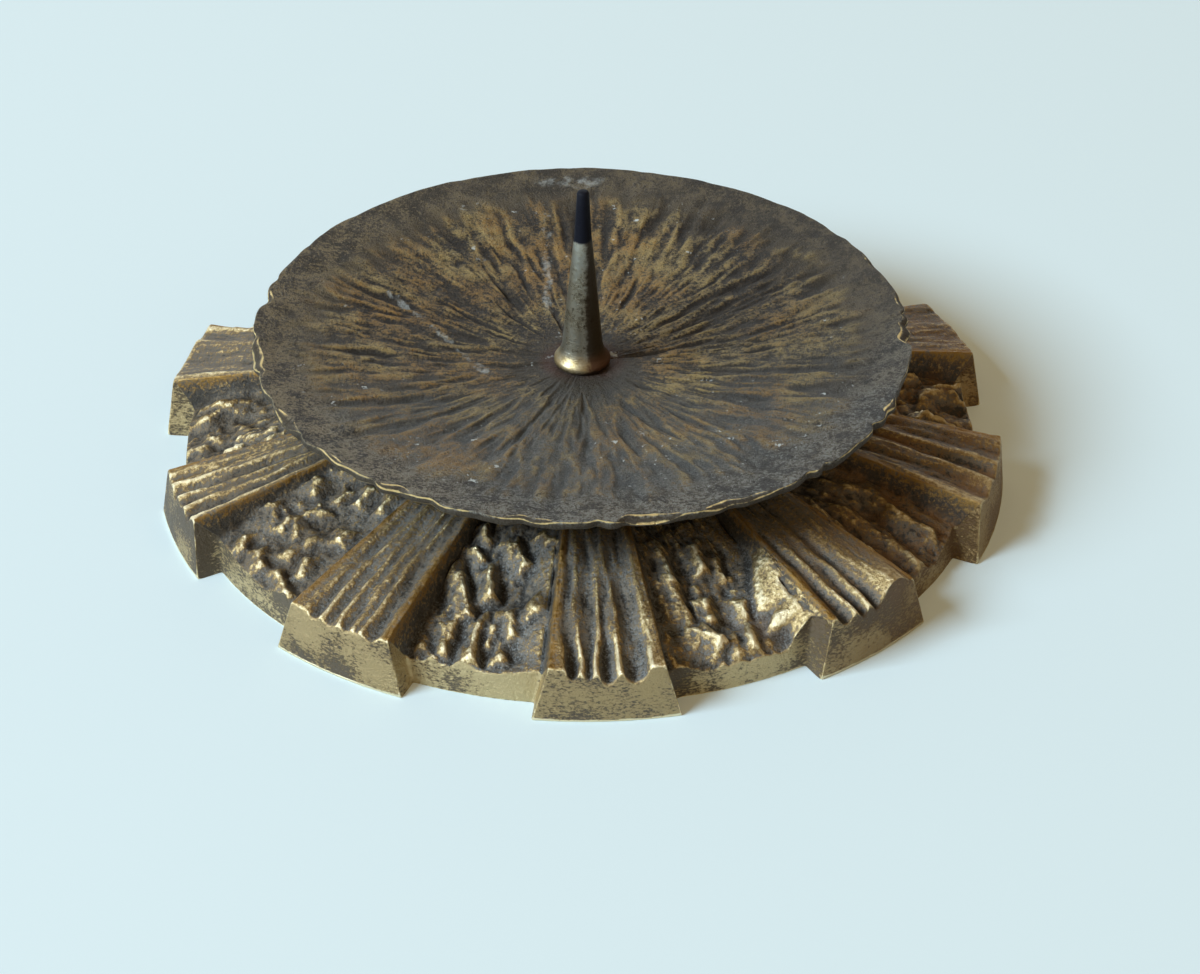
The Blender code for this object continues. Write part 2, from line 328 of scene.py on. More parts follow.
# ridge lines across a rib, from -1 to 1, at the three ridge radii, and the depth of the hollow after each;
# the other ribs' lines are drawn by chance
ribRidges = {
    0: (
        (-0.92, -0.87, -0.74, 1), (-0.66, -0.57, -0.45, 1), (0.11, -0.12, -0.17, 1), (0.12, 0.2, 0.26, 1),
        (0.79, 0.8, 0.74, 1),
    ),
    1: (
        (-0.93, -0.9, -0.88, 0.9), (-0.6, -0.52, -0.5, 1), (-0.22, -0.16, -0.12, 1),
        (0.08, 0.16, 0.22, -0.85), (0.93, 0.92, 0.94, 1),
    ),
    2: ((-0.8, -0.84, -0.86, 1), (-0.2, -0.12, -0.3, 1), (0.28, 0.3, 0.22, 0.7), (0.9, 0.85, 0.8, 1)),
    3: ((-0.88, -0.88, -0.88, 0.6), (0.1, 0.06, 0.14, 0.8), (0.88, 0.88, 0.86, 1)),
    7: ((-0.9, -0.9, -0.88, 0.6), (-0.3, -0.35, -0.4, 0.9), (0.86, 0.85, 0.88, 1)),
    8: (
        (-0.8, -0.74, -0.82, 0.5), (-0.15, -0.3, -0.44, 1.1), (0.3, 0.2, 0.02, 0.6), (0.32, 0.5, 0.42, 1.1),
        (0.88, 0.86, 0.84, 1),
    ),
    9: (
        (-0.8, -0.72, -0.62, 1), (-0.3, -0.42, -0.36, 1), (-0.28, -0.1, 0.02, 1), (0.25, 0.2, 0.3, 1),
        (0.6, 0.42, 0.5, 1), (0.92, 0.9, 0.86, 1),
    ),
}
# chiselled teeth on a panel: a crest line from one radius and share across the panel to another, its height
# and how wide it slopes away to the left and to the right; the other panels' teeth are drawn by chance
panelTeeth = {
    0: (
        (45.6, 0.2, 54.4, 0.22, 2.0, 2.6, 1.2), (54.4, 0.22, 62.3, 0.27, 1.8, 2.8, 1.2),
        (47, 0.55, 52.2, 0.53, 2.2, 2.0, 1.4), (57.4, 0.42, 61.2, 0.41, 2.4, 2.4, 1.4),
        (62.5, 0.3, 67.0, 0.4, 2.6, 3.4, 1.3), (59.4, 0.7, 68.5, 0.6, 1.7, 1.8, 1.2),
        (64.8, 0.5, 68.6, 0.5, 1.5, 1.6, 1.2), (49.9, 0.68, 54.3, 0.67, 1.4, 1.6, 1.2),
    ),
    1: (
        (48.7, 0.58, 55.5, 0.8, 1.8, 2.6, 2.0), (55.5, 0.8, 61.5, 0.72, 1.8, 2.4, 2.0),
        (61.5, 0.72, 67.5, 0.78, 1.6, 2.2, 2.0), (50, 0.4, 61.8, 0.45, 1.6, 2.2, 1.8),
        (61.8, 0.45, 69, 0.38, 1.8, 2.2, 1.8), (46, 0.15, 66, 0.12, 1.2, 1.8, 1.8),
    ),
    8: (
        (53, 0.35, 56.4, 0.27, 1.5, 2.4, 1.4), (51, 0.05, 53.5, 0.13, 1.2, 2.4, 1.4),
        (58.1, 0.22, 61.3, 0.28, 1.8, 2.6, 1.5), (58.2, 0.24, 60.4, 0.43, 1.8, 1.5, 2.0),
        (58.4, 0.55, 64.1, 0.54, 1.7, 2.8, 1.5), (53.8, 0.74, 56.6, 0.76, 1.8, 2.6, 1.5),
        (66.3, 0.3, 67.8, 0.45, 2.0, 1.8, 1.6), (60, 0.02, 61, 0.17, 1.4, 1.5, 1.5),
        (48.2, 0.3, 51, 0.34, 1.6, 1.6, 1.4), (66.5, 0.58, 69.4, 0.82, 1.8, 1.8, 1.4),
        (66, 0.12, 68, 0.2, 1.4, 1.6, 1.4), (61.7, 0.68, 65.3, 0.74, 1.8, 1.8, 1.4),
        (45.3, 0.46, 48.8, 0.5, 1.6, 1.8, 1.4), (44, 0.75, 48, 0.8, 1.4, 1.6, 1.3),
    ),
    9: (
        (43, 0.1, 46, 0.2, 1.6, 2.0, 1.0), (47.5, 0.09, 50, 0.25, 1.8, 2.2, 1.2),
        (45.4, 0.51, 49.4, 0.7, 2.0, 2.0, 1.2), (51, 0.36, 56.3, 0.47, 2.6, 2.8, 1.2),
        (52, 0.05, 60.7, 0.33, 2.4, 3.2, 1.4), (61.9, 0.23, 68.3, 0.25, 1.8, 2.2, 1.3),
        (61.6, 0.43, 69, 0.47, 2.4, 2.6, 1.5), (63.7, 0.65, 67.5, 0.67, 1.6, 1.6, 1.4),
        (58.7, 0.66, 63.4, 0.73, 2.0, 2.2, 1.3), (56.9, 0.81, 59.7, 0.87, 1.8, 2.4, 2.0),
        (61.6, 0.58, 65.2, 0.55, 1.4, 1.6, 1.4), (67.4, 0.08, 69.5, 0.2, 1.4, 1.8, 1.5),
        (43.2, 0.8, 45.5, 0.9, 1.3, 1.6, 1.2),
    ),
}
# bounds for a tooth drawn by chance: length, share and lean across the panel, then height and slopes as above
drawnTeeth = {
    "radii": (42, 66), "count": 16,
    "least": (3, 0.06, -0.12), "most": (7, 0.94, 0.12),
    "leastSize": (1.2, 1.4, 0.9), "mostSize": (2.5, 2.6, 1.7),
}


def smoothStep(value, low, high):
    share = np.clip((value - low) / (high - low), 0, 1)
    return share * share * (3 - 2 * share)


def footColumns(ribs, grid):
    # for each column: its rib, the share across that rib, down its wall and across the panel beside it
    rib, wall, panel = grid["ribColumns"], grid["wallColumns"], grid["panelColumns"]
    columns = []
    for number in range(ribs):
        after = (number + 1) % ribs
        columns += [(number, share, 0, 0) for share in rib]
        columns += [(number, 1, share, 0) for share in wall]
        columns += [(number, 1, 1, share) for share in panel]
        columns += [(after, -1, share, 0) for share in (1, *reversed(wall))]
        columns += [(after, -share, 0, 0) for share in reversed(rib[1:])]
    return np.array(columns, float).T


def fluteDepths(shape, number, ribAcross, wallDown, radii):
    # round hollows between wandering ridge lines, scooped deeper towards the rib's end
    chance = np.random.default_rng(shape["seed"])
    span, shift = shape["ridgeSpan"], shape["ridgeShift"]
    depths = np.zeros(radii.shape)
    for rib in range(shape["ribs"]):
        own = np.flatnonzero((number == rib) & (wallDown == 0))
        radius = np.clip(radii[:, own[0]], 0, shape["endRadius"])[:, None]
        count = 5 + rib % 2
        lines = np.linspace(-span, span, count)[:, None] + chance.uniform(-shift, shift, (count, 4))
        lines[:, 3] = chance.uniform(0.7, 1.1, count)
        lines = np.array(ribRidges.get(rib, lines))
        waves = chance.uniform(0, 6.3, (len(lines), 2))
        places = []
        for line, (first, second) in zip(lines, waves):
            sway = 0.028 * np.sin(radius * 0.31 + first) + 0.012 * np.sin(radius * 0.83 + second)
            places.append(np.interp(radius, shape["ridgeRadii"], line[:3]) + sway)
        scoop = 0.9 + shape["fluteScoop"][rib] * smoothStep(radius, *shape["scoopStretch"])
        for low, high, depth in zip(places, places[1:], lines[:, 3]):
            gap = np.maximum(high - low, 0.01)
            share = np.clip((ribAcross[own] - low) / gap, 0, 1)
            bowl = np.sin(np.pi * share) ** shape["fluteRound"][rib]
            width = gap * radius * math.radians(shape["ribHalf"])
            shallow = np.clip(width / shape["fluteWidth"], 0, 1.05)
            depths[:, own] += bowl * shallow * scoop * shape["fluteDepth"][rib] * depth
    return depths


def toothHeights(shape, number, ribAcross, wallDown, panelAcross, radii):
    # the tallest tooth over each point of the panels, every tooth with two flat slopes and two flat ends,
    # on a panel that climbs a little towards the ribs on either side
    chance = np.random.default_rng(shape["seed"] + 1)
    wide = shape["panelRadians"]
    heights = np.zeros(radii.shape)
    for panel in range(shape["ribs"]):
        leftSide = (number == panel) & (ribAcross == 1)
        rightSide = (number == (panel + 1) % shape["ribs"]) & (ribAcross == -1)
        own = np.flatnonzero(leftSide & (wallDown == 1))
        radius = radii[:, own]
        across = panelAcross[own] * wide * radius
        drawn = []
        for inner in np.linspace(*drawnTeeth["radii"], drawnTeeth["count"]):
            length, share, lean = chance.uniform(drawnTeeth["least"], drawnTeeth["most"])
            size = chance.uniform(drawnTeeth["leastSize"], drawnTeeth["mostSize"])
            drawn.append((inner, share, inner + length, share + lean, *size))
        for inner, share, outer, end, height, left, right in panelTeeth.get(panel, drawn):
            begin = share * wide * inner
            runOut, runAcross = outer - inner, end * wide * outer - begin
            length = math.hypot(runOut, runAcross)
            along = ((radius - inner) * runOut + (across - begin) * runAcross) / length ** 2
            aside = ((across - begin) * runOut - (radius - inner) * runAcross) / length
            slope = 1 - np.abs(aside) / np.where(aside < 0, left, right) / 1.3
            ends = np.minimum((along + 0.35) / 0.6, (1 - along) * length / 1.1 + 1)
            tooth = np.clip(np.minimum(slope, ends), 0, 1) * height
            heights[:, own] = np.maximum(heights[:, own], tooth)
        left, right = shape["panelLift"][panel]
        climb = left * np.clip(1 - panelAcross / 0.3, 0, 1) * leftSide
        climb = climb + right * np.clip(panelAcross / 0.35 - 1.86, 0, 1) * leftSide + right * rightSide
        reach = (1 - 0.5 * smoothStep(radii, 62, 70)) * smoothStep(radii, 34, 44)
        heights += climb * wallDown * reach
    return heights


def footMesh(shape, grid):
    number, ribAcross, wallDown, panelAcross = footColumns(shape["ribs"], grid)
    number = number.astype(int)
    after = (number + 1) % shape["ribs"]
    step = 360 / shape["ribs"]
    turn, width = np.array(shape["ribTurn"]), np.array(shape["ribWidth"])
    spread = shape["ribFootHalf"] - shape["ribHalf"]

    def perRib(key):
        return np.array(shape[key])[number]

    def edge(which, down):
        return shape["ribHalf"] * width[which] + shape["wallSpread"] * wallDown * (1 - down) + spread * down

    def angles(down):
        # azimuth of every column, from the top at 0 to the table at 1
        own = number * step + turn[number] + ribAcross * edge(number, down)
        other = (number + 1) * step + turn[after] - edge(after, down)
        return np.radians(own + (other - own) * panelAcross)

    def mixed(rib, panel):
        return rib + (panel - rib) * wallDown

    endTop = mixed(shape["endRadius"] - shape["endLean"], shape["panelRadius"] - shape["panelLean"])
    endFoot = mixed(shape["endRadius"], shape["panelRadius"])
    ribEnd = shape["endHeight"] + perRib("ribRise")

    def topHeight(radius):
        ribShare = shape["endRadius"] - shape["endLean"] - radius
        ribShare = ribShare / (shape["endRadius"] - shape["crownRadius"])
        ribTop = ribEnd + (shape["crownHeight"] - ribEnd) * np.clip(ribShare, 0, 1)
        panelShare = (shape["panelRadius"] - radius) / (shape["panelRadius"] - shape["hubRadius"])
        climb = (shape["panelCrown"] - shape["panelHeight"]) * np.clip(panelShare, 0, 1)
        return mixed(ribTop, shape["panelHeight"] + climb)

    rows = []

    def addRow(radius, height, down, end, under):
        around = angles(down)
        place = np.stack([radius * np.sin(around), -radius * np.cos(around), height + 0 * around], -1)
        rows.append((place, radius + 0 * around, around, [down], [end], [under]))

    hub, shown = shape["hubRadius"], grid["shownFrom"]
    for radius in grid["hubRows"]:
        addRow(radius, shape["hubHeight"], 0, 0, 1)
    addRow(hub, shape["hubHeight"] - 0.3, 0, 0, 1)
    for radius in np.linspace(hub + 0.5, shown, grid["hiddenRows"], endpoint=False):
        addRow(radius, topHeight(radius), 0, 0, 0)
    for share in grid["shownRows"]:
        radius = shown + (endTop - shown) * share
        addRow(radius, topHeight(radius), 0, share == 1, 0)
    for down in grid["endRows"]:
        addRow(endTop + (endFoot - endTop) * down, topHeight(endTop) * (1 - down), down, 1, 0)
    for inset in grid["footRows"]:
        addRow(endFoot - inset, 0, 1, 0, 1)
    for radius, height in grid["underside"]:
        addRow(radius, height, 1, 0, 1)
    places, radii, around, down, end, under = (np.array(item) for item in zip(*rows))

    # a flat slope leans on the left wall of the rib to the right of the front one, with a toothed lower edge
    low = np.interp(radii, *zip(*shape["slopeFoot"]))
    ramp = 0.25 + 0.75 * np.clip((panelAcross - low) / (1.001 - low), 0, 1)
    ramp = ramp * smoothStep(panelAcross, low - 0.03, low + 0.03) * ((number == 0) & (wallDown == 1))
    slope = ramp + wallDown * ((number == 1) & (ribAcross == -1))
    slope = slope * smoothStep(radii, *shape["slopeStretch"]) * shape["slopeHeight"]
    calm = (1 - 0.75 * smoothStep(panelAcross, 0.7, 0.95)) * perRib("panelRough")
    gleam = mixed(perRib("ribWear"), perRib("panelWear")) + np.zeros(radii.shape)
    for rib, middle, half, inner in shape["polished"]:
        strip = (number == rib) * (wallDown < 0.5) * smoothStep(np.abs(ribAcross - middle), half, 0)
        gleam += strip * smoothStep(radii, inner, inner + shape["polishedFade"])
    border = smoothStep(np.abs(ribAcross), 0.78, 0.95) * (wallDown < 0.3)
    return loopedMesh("footSkin", places, {
        "radiusMm": radii, "acrossMm": around * shape["acrossRadius"],
        "lumpMm": perRib("lumpLength"), "lumpShare": calm,
        "fluteMm": fluteDepths(shape, number, ribAcross, wallDown, radii), "slopeMm": slope,
        "toothMm": toothHeights(shape, number, ribAcross, wallDown, panelAcross, radii),
        "wallDown": wallDown, "wall": 1 - np.abs(2 * wallDown - 1) ** 3,
        "border": border * (1 - end) * (1 - under), "gleam": gleam,
        "pitted": mixed(perRib("ribPits"), perRib("panelPits")),
        "endFace": end, "endDown": down, "under": under,
    })


footRelief = {
    "Lump Height": 0.0022, "Tooth": 1.05, "Drawn Line": 0.001, "End Slope": 0.124, "Skin": 0.0003,
    "Seed": 3.0,
}


def footTree():
    tree, given = startTree("castFoot", footRelief)
    radius, across, panel, share = stored(tree, "radiusMm", "acrossMm", "wallDown", "lumpShare")
    end, down, under = stored(tree, "endFace", "endDown", "under")
    place, normal = field(tree, "GeometryNodeInputPosition"), field(tree, "GeometryNodeInputNormal")
    geometry = geometryStep(tree, "GeometryNodeSetPosition", given["Geometry"], Position=blurred(place, 2))
    # panels: teeth, and lumps drawn out along the radius, steep sided, with crisp crests
    seed = given["Seed"]
    warp = noise(point(tree, across / 8, radius / 8, seed * 2.3), detail=1) - 0.5
    along = radius / named(tree, "lumpMm")
    crag = 1 - calc("ABSOLUTE", (noise(point(tree, across / 3.8, along * 1.1, seed), detail=2) - 0.5) * 4)
    chip = noise(point(tree, across / 1.2, radius / 1.9, seed * 1.7), detail=3, roughness=0.6) - 0.5
    lump = crag * 0.6 + chip * 0.85 + warp * 1.7 - 0.8
    raised = lump * share * panel * between(radius, 32, 40) * given["Lump Height"]
    raised = raised + named(tree, "toothMm") * given["Tooth"] * mm
    # ribs: the flutes run deep and shallow by turns, and fine drawn lines follow them
    uneven = noise(point(tree, across / 3.2, radius / 11, seed * 4.1), detail=1.5)
    uneven = 1 + (between(uneven, 0.28, 0.68, 0.4, 1.25) - 1) * between(radius, 72, 64)
    drawn = noise(point(tree, across, radius / 9, seed * 5.3), detail=3, roughness=0.65) - 0.5
    flute = named(tree, "fluteMm") * uneven * mm + drawn * (1 - panel) * given["Drawn Line"]
    drop = (raised + named(tree, "slopeMm") * mm - flute) * (1 - down)
    grain = noise(place, 420.0, 3, 0.6) - 0.5
    fineGrain = noise(place, 1300.0, 2) - 0.5
    skin = (grain + fineGrain * 0.5) * given["Skin"] * (1 - end * 0.55)
    # an end face leans, so what drops on it also slides out along its slope
    outward = vectorMath("NORMALIZE", vectorMath("MULTIPLY", place, point(tree, 1.0, 1.0, 0.0)))
    slide = vectorMath("SCALE", outward, drop * end * given["End Slope"] * -1)
    move = vectorMath("ADD", point(tree, 0.0, 0.0, drop), slide)
    move = vectorMath("ADD", move, vectorMath("SCALE", normal, skin))
    move = vectorMath("SCALE", move, 1 - under)
    geometry = geometryStep(tree, "GeometryNodeSetPosition", geometry, Offset=move)
    geometry = keepWear(tree, geometry, 3, 14)
    endTree(tree, geometry, given["Material"])
    return tree


def newMaterial(name):
    material = bpy.data.materials.new(name)
    material.use_nodes = True
    tree = material.node_tree
    shader = tree.nodes["Principled BSDF"]
    coordinates = tree.nodes.new("ShaderNodeTexCoord")
    return material, tree, shader.inputs, Wire(tree, coordinates.outputs["Object"])


def bump(tree, height, distance, strength):
    node = tree.nodes.new("ShaderNodeBump")
    node.inputs["Strength"].default_value = strength
    node.inputs["Distance"].default_value = distance
    plug(node.inputs["Height"], height)
    return Wire(tree, node.outputs[0])


footColours = {
    "soot": (0.036, 0.033, 0.030), "brown": (0.145, 0.128, 0.105), "amber": (0.25, 0.162, 0.066),
    "gold": (0.58, 0.45, 0.23), "pale": (0.90, 0.80, 0.56), "dustAndSheen": (0.18, 0.195, 0.205),
    "warm": (0.125, 0.086, 0.044), "border": (0.30, 0.175, 0.05), "rust": (0.19, 0.095, 0.03),
    "filed": (0.44, 0.335, 0.18), "panelFiled": (0.58, 0.47, 0.27), "pit": (0.06, 0.048, 0.038),
}
footGrain = {
    "cloud": (90, 4, 0.6), "speck": (1500, 4, 0.75), "grit": (2600, 3, 0.7), "patch": (110, 2),
    "chip": (620, 2),
}


def footMaterial(colours, grain):
    material, tree, sockets, place = newMaterial("footBronze")
    crest, edge, end, border, wall = stored(tree, "crest", "edge", "endFace", "border", "wall")
    panel, radius, across, gleam = stored(tree, "wallDown", "radiusMm", "acrossMm", "gleam")
    cloud, speck, grit, patch, chip = noises(place, grain)
    # bare metal where the skin stands out, in lines along the ribs, on the flat slope and on polished strips
    worn = crest * 0.13 + edge * 0.3 + (cloud - 0.5) + (speck - 0.5) * 4.2 + (1 - panel) * 0.15
    worn = worn + between(named(tree, "slopeMm"), 0.8, 2.2) * 0.6 - panel * 0.12
    drawn = noise(point(tree, across / 0.7, radius / 6, 4.0), detail=3, roughness=0.6) - 0.5
    worn = worn + drawn * 1.6 * (1 - panel) + gleam * 0.6
    # turned rings instead on the hub and the underside
    rings = noise(point(tree, radius * 2.2, 0.0, 9.0), detail=2) - 0.5
    turned = (cloud - 0.5) * 1.2 + (speck - 0.5) * 1.6 + rings * 0.5 - 0.1
    worn = worn + (turned - worn) * named(tree, "under")
    # warm brown towards the light, pale dust with a painted bluish sheen at the front, and painted shade, as
    # rusty brown and dimmer bare metal, on the side away from the light
    east, north, _ = axesOf(place)
    lit = between(east + (cloud - 0.5) * 0.04, -0.022, -0.05)
    aside = east + (cloud - 0.5) * 0.03
    front = between(north, -0.015, -0.05, 0.25, 1)
    front = front * between(aside, -0.075, -0.045, 0.6, 1) * between(aside, 0.04, 0.024, 0.25, 1)
    # painted shade: the side away from the light turns rusty brown and its bare metal dims
    shadedSide = between(east + (cloud - 0.5) * 0.05, 0.02, 0.06)
    unpolished = between(gleam, 0.1, 0.5, 1, 0)
    colour = mixColour(between(worn, -0.9, -0.1), colours["soot"], colours["brown"])
    colour = coated(colour, colours, (
        (lit * between(speck, 0.4, 0.55) * 0.45, "warm"),
        # pale dust with a painted bluish sheen on the front of the foot
        (between(grit + cloud * 0.4, 0.68, 0.86) * front * 0.95, "dustAndSheen"),
        (shadedSide * between(speck + cloud, 0.85, 1.15) * 0.85, "rust"),
        (between(worn, 0.0, 0.6) * 0.8, "amber"),
        # gold and pale bare metal are dimmed by painted shade on the side away from the light
        (between(worn, 0.35, 1.05) * (1 - shadedSide * 0.45), "gold"),
        (between(worn, 0.95, 1.7) * (1 - shadedSide * 0.7), "pale"),
        (border * unpolished * between(cloud + speck, 0.75, 1.05), "border"),
        (wall * between(speck + worn * 0.3, 0.75, 0.45) * 0.8, "soot"),
    ))
    # filed end faces keep short flat pits in patches
    streak = noise(vectorMath("MULTIPLY", place, point(tree, 1.0, 1.0, 2.2)), 1300, 5, 0.75)
    pits = between(streak + (patch - 0.5) * 0.8 + named(tree, "pitted"), 0.48, 0.62) * 0.9
    filed = mixColour(panel, colours["filed"], colours["panelFiled"])
    # painted shade: filed faces turn rusty brown on the side away from the light
    filed = coated(filed, colours, ((pits, "pit"), (shadedSide * 0.55, "rust")))
    flat = end * between(edge, 0.9, 0.4)
    plug(sockets["Base Color"], mixColour(flat, colour, filed))
    shine = between(worn, 0.1, 0.8)
    metal = shine + (1 - pits - shine) * flat
    plug(sockets["Metallic"], metal * 0.75 + 0.25)
    plug(sockets["Roughness"], 0.52 - metal * 0.12 + (speck - 0.5) * 0.3)
    chip = calc("ABSOLUTE", chip - 0.5) * panel * (1 - end)
    plug(sockets["Normal"], bump(tree, speck + cloud * 0.5 - pits * flat * 0.5 - chip * 1.2, 0.0004, 0.8))
    return material


foot = grownPiece(
    "cast_foot", footMesh(footShape, footGrid), footTree(),
    {**footRelief, "Material": footMaterial(footColours, footGrain)},
)
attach(foot, "foot")
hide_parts("base_casting")


# Drip pan: a shallow dish with drawn strokes from the middle outwards and a notched rim

panShape = {
    "holeRadius": 2.4, "floorRadius": 8.0, "floorHeight": 19.6, "rise": 6.6, "riseRadius": 57, "power": 1.8,
    "rimRadius": 57.6, "thickness": 2.15, "seatRadius": 14.0, "seatHeight": 17.45,
    "columns": 600, "topRows": 89, "underRows": 24,
    # the last rows of the rim: how far in from its radius, how far below its top, and the share that is top
    "rim": (
        (0.1, 0.04, 1), (0, 0.14, 0.5), (0, 0.5, 0), (0, 0.95, 0), (0, 1.35, 0), (0.2, 1.65, 0),
        (0.7, 1.8, 0),
    ),
}
# how far the rows round the rim go in and down where a facet is cut, where the bare lines run, and the lower
# edge; each from a row counted from the first one after the top rows
rimMarks = {
    "facetIn": (-7, (0.05, 0.15, 0.3, 0.45, 0.62, 0.78, 0.92, 1, 0.67, 0.33, 0)),
    "facetDown": (1, (0.33, 0.67, 1, 0.72, 0.45, 0.2)),
    "outerLine": (2, (0.3, 1, 0.4, 0, 0.2, 0.7, 0.3)),
    "innerLine": (-1, (0.35, 1, 0.35)),
    "lowerEdge": (4, (0.3, 0.7, 1, 1, 0.6)),
}
panRelief = {
    "Stroke": 0.00095, "Dent": 0.0006, "Lobes": 16.0, "Notch": 0.0019, "Facet": 0.0012, "Facet Width": 0.0013,
    "Top Slope": 0.245, "Lower Wave": 0.0016, "Skin": 0.00012, "Seed": 5.0,
}


def panMesh(shape, marks):
    around = np.linspace(0, 2 * math.pi, shape["columns"], endpoint=False)

    def topAt(radius):
        share = max(radius - shape["floorRadius"], 0) / (shape["riseRadius"] - shape["floorRadius"])
        return shape["floorHeight"] + shape["rise"] * share ** shape["power"]

    rim, hole, seat = shape["rimRadius"], shape["holeRadius"], shape["seatHeight"]
    dish = [*np.linspace(hole + 0.2, rim - 0.6, shape["topRows"]), rim - 0.3, rim - 0.2]
    rows = [(radius, topAt(radius), 1) for radius in dish]
    rows += [(rim - inset, topAt(rim) - down, top) for inset, down, top in shape["rim"]]
    below = np.linspace(rim - 1.6, shape["seatRadius"] + 0.4, shape["underRows"])
    rows += [(radius, topAt(radius) - shape["thickness"], 0) for radius in below]
    rows += [(shape["seatRadius"], seat, 0), (hole + 0.4, seat, 0)]
    rows += [(hole, seat + 0.4, 0), (hole, shape["floorHeight"] - 0.3, 0)]
    radius, height, top = np.array(rows).T[:, :, None]
    east, north = np.sin(around), -np.cos(around)
    numbers = {"radiusMm": radius, "dirX": east, "dirY": north, "turn": around, "top": top}
    for name, (start, values) in marks.items():
        first = shape["topRows"] + start
        numbers[name] = np.zeros(radius.shape)
        numbers[name][first:first + len(values), 0] = values
    places = np.stack(np.broadcast_arrays(radius * east, radius * north, height), -1)
    return loopedMesh("panSkin", places, numbers)


def panTree():
    tree, given = startTree("castPan", panRelief)
    radius, east, north, turn, top = stored(tree, "radiusMm", "dirX", "dirY", "turn", "top")
    facetDown, lowerEdge = stored(tree, "facetDown", "lowerEdge")
    place, normal = field(tree, "GeometryNodeInputPosition"), field(tree, "GeometryNodeInputNormal")
    seed = given["Seed"]

    def polar(fine, length, shift, second=0.0):
        return point(tree, east * fine + shift, north * fine + second, radius / length + seed)

    def around(fine, layer):
        return noise(point(tree, east * fine, north * fine, seed * layer), detail=1)

    # strokes: soft ridges along the radius that fade out before the rim
    sway = (noise(polar(4.0, 14, 2.0), detail=1) - 0.5) * 0.9
    inner = noise(polar(5.0, 13, sway, sway), detail=2.5, roughness=0.55)
    outer = noise(polar(9.5, 20, sway, sway), detail=2)
    stroke = inner + (outer - inner) * between(radius, 11, 25)
    ridge = 1 - calc("ABSOLUTE", (stroke - 0.5) * 5.5)
    fineStroke = noise(polar(24.0, 8, 7.0), detail=3, roughness=0.65) - 0.5
    fineStroke = fineStroke * between(radius, 10, 30, 0.3, 1)
    ending = noise(polar(9.0, 40, 4.0), detail=1) * 12
    reach = between(radius, 5, 16, 0.2, 1) * between(radius + ending, 62, 52) * top
    knurl = noise(place, 330.0, 3, 0.6) - 0.5
    relief = ridge * 0.45 + (stroke - 0.5) * 1.3 + fineStroke * 0.8 + knurl * 0.9 - 0.2
    relief = relief * reach * given["Stroke"]
    dent = (noise(polar(6.5, 8, 11.0), detail=1.5) - 0.5) * given["Dent"] * between(radius, 6, 20)
    skin = (noise(place, 700.0, 3, 0.6) - 0.5) * given["Skin"]
    # rim: rounded lobes with sharp notches between, bitten in from the full radius
    wave = calc("SINE", turn * given["Lobes"] + around(4, 1) * 14)
    lobe = calc("SQRT", wave * wave + 0.06)
    bite = around(5, 2) * 1.4 - 0.2
    calm = between(north, 0.7, 0.0, 0.15, 1)
    notch = ((1 - lobe) * bite + bite * 0.5) * calm * given["Notch"] * between(radius, 51, 56.5)
    facet = clamped((around(5.2, 3) - 0.46) * 4.2 * calm)
    sunk = facet * named(tree, "facetIn") * given["Facet Width"]
    drop = facet * facetDown * given["Facet"] + sunk * given["Top Slope"]
    lower = (around(9, 5) - 0.5) * given["Lower Wave"] * lowerEdge * (1 - facet)
    back = (notch + sunk) * -1
    move = point(tree, east * back, north * back, lower - drop)
    move = vectorMath("ADD", move, vectorMath("SCALE", normal, relief + dent * top + skin))
    move = vectorMath("SCALE", move, between(radius, 2.4, 4))
    geometry = geometryStep(tree, "GeometryNodeSetPosition", given["Geometry"], Offset=move)
    drawn = (ridge * 0.8 + (stroke - 0.4) * 1.5 + fineStroke * 0.6) * reach
    bare = named(tree, "outerLine") + named(tree, "innerLine") * calc("MINIMUM", facet * 4, 1.0)
    side = calc("MINIMUM", facetDown * calc("MINIMUM", facet * 3, 1.0) + lowerEdge, 1.0)
    for name, value in (("stroke", drawn), ("rimWorn", bare), ("rimSide", side)):
        geometry = keepNumber(tree, geometry, name, value)
    geometry = keepWear(tree, geometry, 2, 8)
    endTree(tree, geometry, given["Material"])
    return tree


panColours = {
    "deep": (0.024, 0.021, 0.020), "brown": (0.080, 0.062, 0.042), "blueSheen": (0.085, 0.098, 0.108),
    "band": (0.135, 0.112, 0.082), "stroke": (0.35, 0.265, 0.115), "orange": (0.31, 0.185, 0.06),
    "light": (0.21, 0.215, 0.205), "tan": (0.21, 0.165, 0.095), "gold": (0.70, 0.55, 0.27),
    "wax": (0.50, 0.55, 0.57), "stain": (0.07, 0.025, 0.018), "side": (0.045, 0.034, 0.023),
}
panGrain = {
    "cloud": (45, 4, 0.6), "speck": (1700, 4, 0.75), "blotch": (280, 4, 0.65), "grit": (2600, 3, 0.7),
    "coarse": (1700, 5, 0.8), "hue": (60, 3, 0.6), "gilt": (110, 5, 0.75), "strewn": (38, 2),
    "drops": (430, 3, 0.6), "dots": (1500, 2), "broken": (500, 3, 0.7),
}
# thin wax trails on the pan: from one point to another and their width, in millimetres
waxTrails = (
    ((-33, 20), (-25.5, 10.5), 0.6), ((-25.5, 10.5), (-17.5, -2.5), 0.7),
    ((-4, 44), (-5.2, 15), 0.8), ((-4, 53.6), (6, 53.6), 1.8),
)


def lineDistance(across, ahead, first, second):
    # distance from a point to a line between two points
    (x, y), (endX, endY) = first, second
    runX, runY = endX - x, endY - y
    share = clamped(((across - x) * runX + (ahead - y) * runY) / (runX * runX + runY * runY))
    offX, offY = across - x - share * runX, ahead - y - share * runY
    return calc("SQRT", offX * offX + offY * offY)


